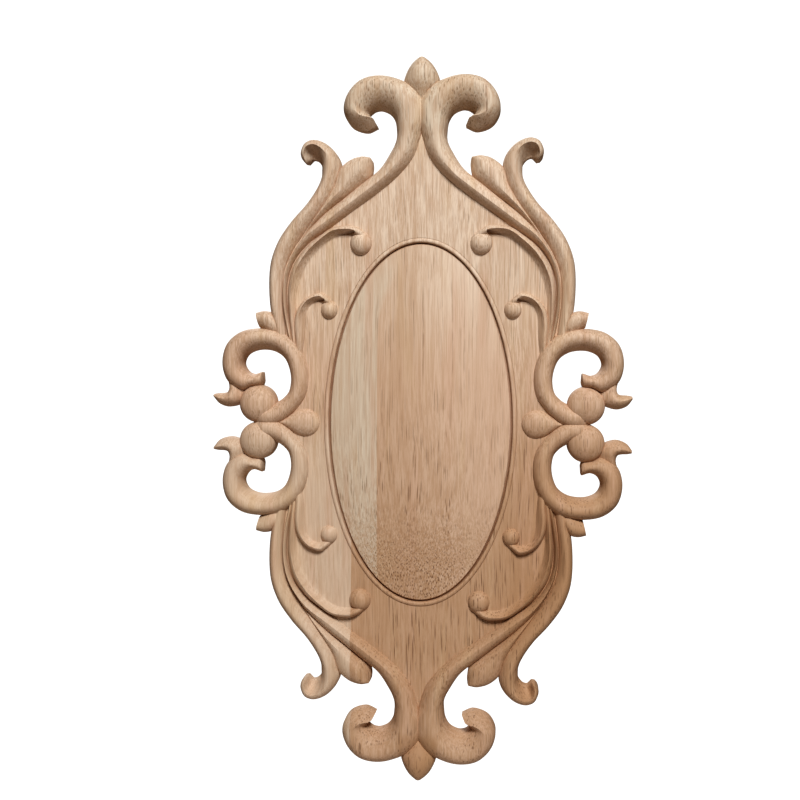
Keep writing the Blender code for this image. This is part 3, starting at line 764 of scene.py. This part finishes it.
class Nodes:
    """A material's node tree, with short ways to add what the wood needs."""

    def __init__(self, tree):
        self.tree = tree

    def add(self, kind, inputs=(), **settings):
        """Add a node, set its options, and link or set its inputs by name or number."""
        node = self.tree.nodes.new(kind)
        for key, value in settings.items():
            setattr(node, key, value)
        for key, value in dict(inputs).items():
            self.feed(node.inputs[key], value)
        return node

    def feed(self, socket, value):
        """Link a socket to another, or set its value."""
        if isinstance(value, bpy.types.NodeSocket):
            self.tree.links.new(value, socket)
        else:
            socket.default_value = value

    def math(self, operation, a, b=0.0, c=0.0):
        """One step of arithmetic."""
        node = self.add('ShaderNodeMath', {0: a, 1: b, 2: c}, operation=operation)
        return node.outputs[0]

    def point(self, x, y, z):
        """A vector from three numbers."""
        return self.add('ShaderNodeCombineXYZ', {0: x, 1: y, 2: z}).outputs[0]

    def noise(self, vector, scale=1.0, detail=2.0, roughness=0.5):
        """Smooth noise, about 0.5 on average."""
        values = {'Vector': vector, 'Scale': scale, 'Detail': detail, 'Roughness': roughness}
        return self.add('ShaderNodeTexNoise', values).outputs[0]

    def long_noise(self, across, along, scales, detail=2.0):
        """Noise that is drawn out along the grain, with its scales across and along."""
        x = self.math('MULTIPLY', across, scales[0])
        z = self.math('MULTIPLY', along, scales[1])
        return self.noise(self.point(x, 0.0, z), detail=detail)

    def smooth(self, value, low, high, start=0.0, end=1.0):
        """An eased step from start to end as the value goes from low to high."""
        values = {'Value': value, 'From Min': low, 'From Max': high, 'To Min': start, 'To Max': end}
        node = self.add('ShaderNodeMapRange', values, interpolation_type='SMOOTHSTEP')
        return node.outputs[0]

    def mix(self, share, first, second):
        """Mix two colours."""
        node = self.add('ShaderNodeMix', data_type='RGBA')
        self.feed(node.inputs[0], share)
        self.feed(node.inputs[6], first)
        self.feed(node.inputs[7], second)
        return node.outputs[2]


def place_in_wood(n):
    """Where the shaded point lies in the applique, and across and into the grain of the wood."""
    place = n.add('ShaderNodeTexCoord').outputs['Object']
    split = n.add('ShaderNodeSeparateXYZ', {0: place})
    x = n.math('MULTIPLY', split.outputs[0], 1 / MM)
    height = n.math('MULTIPLY', split.outputs[1], -1 / MM)
    z = n.math('MULTIPLY', split.outputs[2], 1 / MM)
    long_place = n.point(x, height, n.math('MULTIPLY', z, WANDER_STRETCH))
    aside = n.math('SUBTRACT', n.noise(long_place, SIDE_WANDER_SCALE), NOISE_MIDDLE)
    down = n.math('SUBTRACT', n.noise(long_place, DIVE_WANDER_SCALE), NOISE_MIDDLE)
    across = n.math('MULTIPLY_ADD', z, SIDE_LEAN, x)
    across = n.math('MULTIPLY_ADD', aside, SIDE_WANDER, across)
    depth = n.math('MULTIPLY_ADD', z, DIVE, height)
    depth = n.math('MULTIPLY_ADD', down, DIVE_WANDER, depth)
    return SimpleNamespace(x=x, height=height, z=z, across=across, depth=depth)


def inside_oval(n, place):
    """1 on the dome, and 0 outside its groove and on the back."""
    wide = n.math('POWER', n.math('DIVIDE', place.x, OVAL_HALF_WIDTH), 2.0)
    tall = n.math('POWER', n.math('DIVIDE', place.z, OVAL_HALF_HEIGHT), 2.0)
    within = n.math('LESS_THAN', n.math('ADD', wide, tall), 1.0)
    return n.math('MULTIPLY', within, n.math('GREATER_THAN', place.height, FIELD_HEIGHT / 2))


def add_zones(n, place):
    """Where the wood differs: each zone is 1 where it is full and 0 outside it.

    calm and quiet are the other way round, 1 where the grain is at its strongest. In the dotted
    zone the grain dives, so the depth changes there too.
    """
    place.inside = inside_oval(n, place)
    place.strip = n.smooth(place.x, FIELD_JOINT_X + JOINT_BLUR, FIELD_JOINT_X - JOINT_BLUR)
    calm_strip = n.math('MULTIPLY', place.strip, n.smooth(place.z, *CALM_STRIP_Z))
    calm = n.math('MULTIPLY_ADD', calm_strip, -CALM_STRIP_SHARE, 1.0)
    place.calm = n.math('MAXIMUM', calm, place.inside)
    sides = n.math('ADD', n.smooth(place.x, *QUIET_RIGHT_X), n.smooth(place.x, *QUIET_LEFT_X))
    sides = n.math('MULTIPLY', place.inside, sides)
    place.quiet = n.math('MULTIPLY_ADD', sides, -QUIET_SHARE, 1.0)
    place.coarse = n.math('MULTIPLY', n.smooth(place.z, *COARSE_Z), place.calm)
    place.dotted = n.math('MULTIPLY', place.inside, n.smooth(place.z, DOTS_START, DOTS_END))
    fall = n.math('MULTIPLY', n.math('SUBTRACT', place.z, DOTS_START), DOTS_DIVE)
    place.depth = n.math('MULTIPLY_ADD', fall, place.dotted, place.depth)


def dome_strip(n, place):
    """1 on the paler strip at the dome's left."""
    bend = n.smooth(place.z, *DOME_BEND_Z)
    edge = n.math('MULTIPLY_ADD', bend, -DOME_JOINT_BEND, place.x)
    left = n.math('SUBTRACT', DOME_JOINT_X, edge)
    left = n.math('DIVIDE', left, n.smooth(place.z, *DOME_BLUR_Z))
    return n.math('MULTIPLY', n.smooth(left, -1.0, 1.0), n.smooth(place.z, *DOME_STRIP_Z))


def dome_colour(n, place):
    """Tones of the dome: cream at its top, pinker at the right and browner in the middle."""
    low = n.smooth(place.z, *DOME_BROWN_Z)
    colour = n.mix(n.smooth(place.x, *DOME_PINK_X), TAN, PINK)
    colour = n.mix(n.smooth(place.z, *CREAM_Z), colour, CREAM)
    colour = n.mix(n.math('ADD', n.smooth(place.x, *DOME_BROWN_X), low), colour, BROWN)
    strip = n.mix(n.smooth(place.x, *DOME_STRIP_BROWN_X), PALE, BROWN)
    strip = n.mix(n.math('MULTIPLY', low, DOME_STRIP_LOW_SHARE), strip, BROWN)
    return n.mix(dome_strip(n, place), colour, strip)


def corner_share(n, place, range_x, range_z, share):
    """A share that comes in along both X and Z."""
    both = n.math('MULTIPLY', n.smooth(place.x, *range_x), n.smooth(place.z, *range_z))
    return n.math('MULTIPLY', both, share)


def field_colour(n, place):
    """Tones of all that lies round the dome: cream at the top, and browner or straw below."""
    low = n.smooth(place.z, *FIELD_BROWN_Z)
    low = n.math('MULTIPLY', low, n.math('MULTIPLY_ADD', place.strip, -FIELD_STRIP_LESS_BROWN, 1.0))
    low = n.math('MULTIPLY', low, n.smooth(place.z, *FIELD_END_Z))
    right = corner_share(n, place, RIGHT_BROWN_X, RIGHT_BROWN_Z, RIGHT_BROWN_SHARE)
    pale = n.math('MULTIPLY', place.strip, n.smooth(place.z, *FIELD_STRIP_PALE_Z))
    pale = n.math('MAXIMUM', pale, n.smooth(place.z, *HOOKS_PALE_Z))
    colour = n.mix(n.smooth(place.z, *FIELD_PINK_Z), TAN, PINK)
    colour = n.mix(n.smooth(place.z, *CREAM_Z), colour, CREAM)
    colour = n.mix(pale, colour, PALE)
    colour = n.mix(n.math('ADD', right, low), colour, BROWN)

    middle_x = n.smooth(n.math('ABSOLUTE', place.x), *LOW_BUD_BROWN_X)
    bud = n.math('MULTIPLY', middle_x, n.smooth(place.z, *LOW_BUD_BROWN_Z))
    colour = n.mix(n.math('MULTIPLY', bud, LOW_BUD_BROWN_SHARE), colour, BROWN)
    straw = corner_share(n, place, LOW_LEFT_STRAW_X, LOW_LEFT_STRAW_Z, LOW_LEFT_STRAW_SHARE)
    return n.mix(straw, colour, STRAW)


def hue_shift(n, colour, place):
    """Slow changes across the board, from pinkish to yellowish."""
    noise = n.long_noise(place.x, place.z, HUE_SCALE)
    colour = n.mix(n.smooth(noise, *HUE_STRAW), colour, STRAW)
    return n.mix(n.smooth(noise, *HUE_ROSE), colour, ROSE)


def growth_rings(n, place):
    """Distance out from the heart of the log, less its radius: constant on a growth ring."""
    aside = n.math('SUBTRACT', place.across, HEART_X)
    drop = n.math('DIVIDE', n.math('MULTIPLY', aside, aside), -2.0 * HEART_RADIUS)
    return n.math('ADD', place.depth, drop)


def add_bands(n, colour, place):
    """Darker bands of growth."""
    noise = n.long_noise(growth_rings(n, place), place.z, BAND_SCALE, detail=FINE_DETAIL)
    band = n.math('MULTIPLY', n.smooth(noise, *BAND_NOISE), BAND_SHARE)
    return n.mix(n.math('MULTIPLY', band, place.quiet), colour, STREAK)


def add_fibres(n, colour, place):
    """Fine upright fibres."""
    fibre_place = n.point(place.across, place.depth, n.math('MULTIPLY', place.z, FIBRE_STRETCH))
    fibre = n.noise(fibre_place, FIBRE_SCALE, detail=FINE_DETAIL, roughness=FIBRE_ROUGHNESS)
    share = n.math('MULTIPLY_ADD', place.coarse, FIBRE_COARSE_MORE, FIBRE_SHARE)
    share = n.math('MULTIPLY_ADD', place.inside, -FIBRE_DOME_LESS, share)
    share = n.math('MULTIPLY_ADD', place.dotted, FIBRE_DOTS_MORE, share)
    calm = n.math('MULTIPLY_ADD', place.calm, FIBRE_CALM_SHARE, 1.0 - FIBRE_CALM_SHARE)
    share = n.math('MULTIPLY', n.math('MULTIPLY', share, place.quiet), calm)
    return n.mix(n.math('MULTIPLY', n.smooth(fibre, *FIBRE_NOISE), share), colour, STREAK)


def pore_ends(n, place, scale):
    """Round specks where the tubes of the wood meet the plane across the grain."""
    cells = n.add('ShaderNodeTexVoronoi', {
        'Vector': n.point(place.across, place.depth, 0.0), 'Scale': scale, 'Randomness': 1.0,
    }, voronoi_dimensions='2D')
    return n.smooth(cells.outputs['Distance'], *PORE_EDGE)


def open_pores(n, place):
    """Long thin tubes along the grain: streaks where they are cut along, dots where across."""
    wide = pore_ends(n, place, PORE_SCALE)
    fine = pore_ends(n, place, DOT_SCALE)
    pore = n.math('MULTIPLY_ADD', n.math('SUBTRACT', fine, wide), place.dotted, wide)

    patch = n.smooth(n.long_noise(place.across, place.z, PATCH_SCALE), *PATCH_NOISE)
    break_place = n.point(place.across, place.depth, n.math('MULTIPLY', place.z, BREAK_STRETCH))
    unbroken = n.smooth(n.noise(break_place, BREAK_SCALE), *BREAK_NOISE)
    clump_place = n.point(place.across, place.depth, 0.0)
    clump = n.noise(clump_place, CLUMP_SCALE, detail=FINE_DETAIL, roughness=CLUMP_ROUGHNESS)
    dots = n.math('MULTIPLY', place.dotted, DOT_SHARE)
    dots = n.math('MULTIPLY', dots, n.smooth(clump, *CLUMP_NOISE))
    pore = n.math('MULTIPLY', pore, n.math('MAXIMUM', n.math('MULTIPLY', patch, unbroken), dots))

    share = n.math('MULTIPLY_ADD', place.coarse, PORE_COARSE_MORE, PORE_SHARE)
    share = n.math('ADD', n.smooth(place.z, *PORE_TOP_Z), share)
    calm = n.math('MULTIPLY', place.calm, place.quiet)
    return n.math('MULTIPLY', n.math('MULTIPLY', pore, share), calm)


def add_end_grain_and_underside_shade(n, colour):
    """End grain is darker where the surface slopes, and undersides get about four times as much of
    it as painted shade.
    """
    normal = n.add('ShaderNodeNewGeometry').outputs['Normal']
    slope_z = n.add('ShaderNodeSeparateXYZ', {0: normal}).outputs[2]
    share = n.math('POWER', n.math('ABSOLUTE', slope_z), END_GRAIN_POWER)
    share = n.math('MULTIPLY', share, n.smooth(slope_z, *END_GRAIN_AND_SHADE_SLOPE))
    return n.mix(share, colour, END_GRAIN_AND_SHADE)


def add_crease_shade(n, colour):
    """Painted shade in the creases: darker where nearby carving hems the surface in."""
    inputs = {'Distance': CREASE_REACH * MM}
    openness = n.add('ShaderNodeAmbientOcclusion', inputs, samples=CREASE_SAMPLES).outputs['AO']
    return n.mix(n.smooth(openness, *CREASE_OPENNESS), colour, CREASE_SHADE)


def wood_material():
    """Solid rubberwood: strips, growth rings, upright fibres and open pores, cut by the carving."""
    material = bpy.data.materials.new("rubberwood")
    material.use_nodes = True
    tree = material.node_tree
    tree.nodes.clear()
    n = Nodes(tree)
    place = place_in_wood(n)
    add_zones(n, place)
    colour = n.mix(place.inside, field_colour(n, place), dome_colour(n, place))
    colour = hue_shift(n, colour, place)
    colour = add_bands(n, colour, place)
    colour = add_fibres(n, colour, place)
    pore = open_pores(n, place)
    colour = n.mix(n.math('MULTIPLY', pore, PORE_DARKNESS), colour, PORE)
    # Darker end grain, with painted shade on undersides.
    colour = add_end_grain_and_underside_shade(n, colour)
    # Painted shade in the creases.
    colour = add_crease_shade(n, colour)

    fuzz_place = n.point(place.x, place.height, n.math('MULTIPLY', place.z, FUZZ_STRETCH))
    fuzz = n.noise(fuzz_place, FUZZ_SCALE, detail=FINE_DETAIL, roughness=FUZZ_ROUGHNESS)
    relief = n.math('SUBTRACT', n.math('MULTIPLY', fuzz, FUZZ_RISE), pore)
    bump = n.add('ShaderNodeBump', {
        'Height': relief, 'Strength': BUMP_STRENGTH, 'Distance': BUMP_RISE * MM,
    })
    rough = n.math('MULTIPLY_ADD', fuzz, FUZZ_DULLNESS, SMOOTHEST)
    shader = n.add('ShaderNodeBsdfPrincipled', {
        'Base Color': colour, 'Roughness': rough, 'Normal': bump.outputs[0],
    })
    shader.inputs['Specular IOR Level'].default_value = GLOSS
    output = n.add('ShaderNodeOutputMaterial', {'Surface': shader.outputs[0]})
    output.is_active_output = True
    return material


def add_camera():
    """The photograph's own view."""
    data = bpy.data.cameras.new("camera")
    data.lens = CAMERA_LENS
    data.sensor_width = CAMERA_SENSOR
    data.shift_x = (PICTURE_SIZE / 2 - PICTURE_MIDDLE[0]) / PICTURE_SIZE
    data.shift_y = (PICTURE_MIDDLE[1] - PICTURE_SIZE / 2) / PICTURE_SIZE
    camera = bpy.data.objects.new("camera", data)
    bpy.context.scene.collection.objects.link(camera)
    away = Vector((
        sin(CAMERA_TURN) * cos(CAMERA_RISE),
        -cos(CAMERA_TURN) * cos(CAMERA_RISE),
        sin(CAMERA_RISE),
    ))
    camera.location = CAMERA_AIM + away * CAMERA_DISTANCE
    camera.rotation_mode = 'QUATERNION'
    roll = Quaternion((0.0, 0.0, 1.0), CAMERA_ROLL)
    camera.rotation_quaternion = (-away).to_track_quat('-Z', 'Y') @ roll
    bpy.context.scene.camera = camera


def add_softbox(name, place, size, power):
    """A square light that faces the middle of the applique."""
    data = bpy.data.lights.new(name, 'AREA')
    data.size = size
    data.energy = power
    lamp = bpy.data.objects.new(name, data)
    bpy.context.scene.collection.objects.link(lamp)
    lamp.location = place
    lamp.rotation_mode = 'QUATERNION'
    lamp.rotation_quaternion = (-Vector(place)).to_track_quat('-Z', 'Y')


def add_world():
    """White behind the object, and a soft, warm, even fill."""
    world = bpy.data.worlds.new("studio")
    bpy.context.scene.world = world
    world.use_nodes = True
    tree = world.node_tree
    tree.nodes.clear()
    n = Nodes(tree)
    seen = n.add('ShaderNodeLightPath').outputs['Is Camera Ray']
    light = n.add('ShaderNodeBackground', {'Color': n.mix(seen, FILL_COLOUR, WHITE)})
    n.add('ShaderNodeOutputWorld', {'Surface': light.outputs[0]})


def add_floor():
    """A round pale floor well below the hanging piece."""
    bm = bmesh.new()
    bmesh.ops.create_circle(bm, cap_ends=True, segments=FLOOR_STEPS, radius=FLOOR_RADIUS)
    bmesh.ops.translate(bm, vec=(0.0, 0.0, FLOOR_LEVEL), verts=bm.verts)
    mesh = bpy.data.meshes.new("floor")
    bm.to_mesh(mesh)
    bm.free()
    material = bpy.data.materials.new("floor")
    material.use_nodes = True
    shader = material.node_tree.nodes["Principled BSDF"]
    shader.inputs['Base Color'].default_value = FLOOR_COLOUR
    shader.inputs['Roughness'].default_value = FLOOR_ROUGHNESS
    mesh.materials.append(material)
    floor = bpy.data.objects.new("floor", mesh)
    bpy.context.scene.collection.objects.link(floor)


make_applique(wood_material())
add_floor()
add_camera()
for light_name, light_sizes in LIGHTS.items():
    add_softbox(light_name, *light_sizes)
add_world()
bpy.context.scene.view_settings.view_transform = 'Standard'
bpy.context.scene.view_settings.look = 'Medium High Contrast'
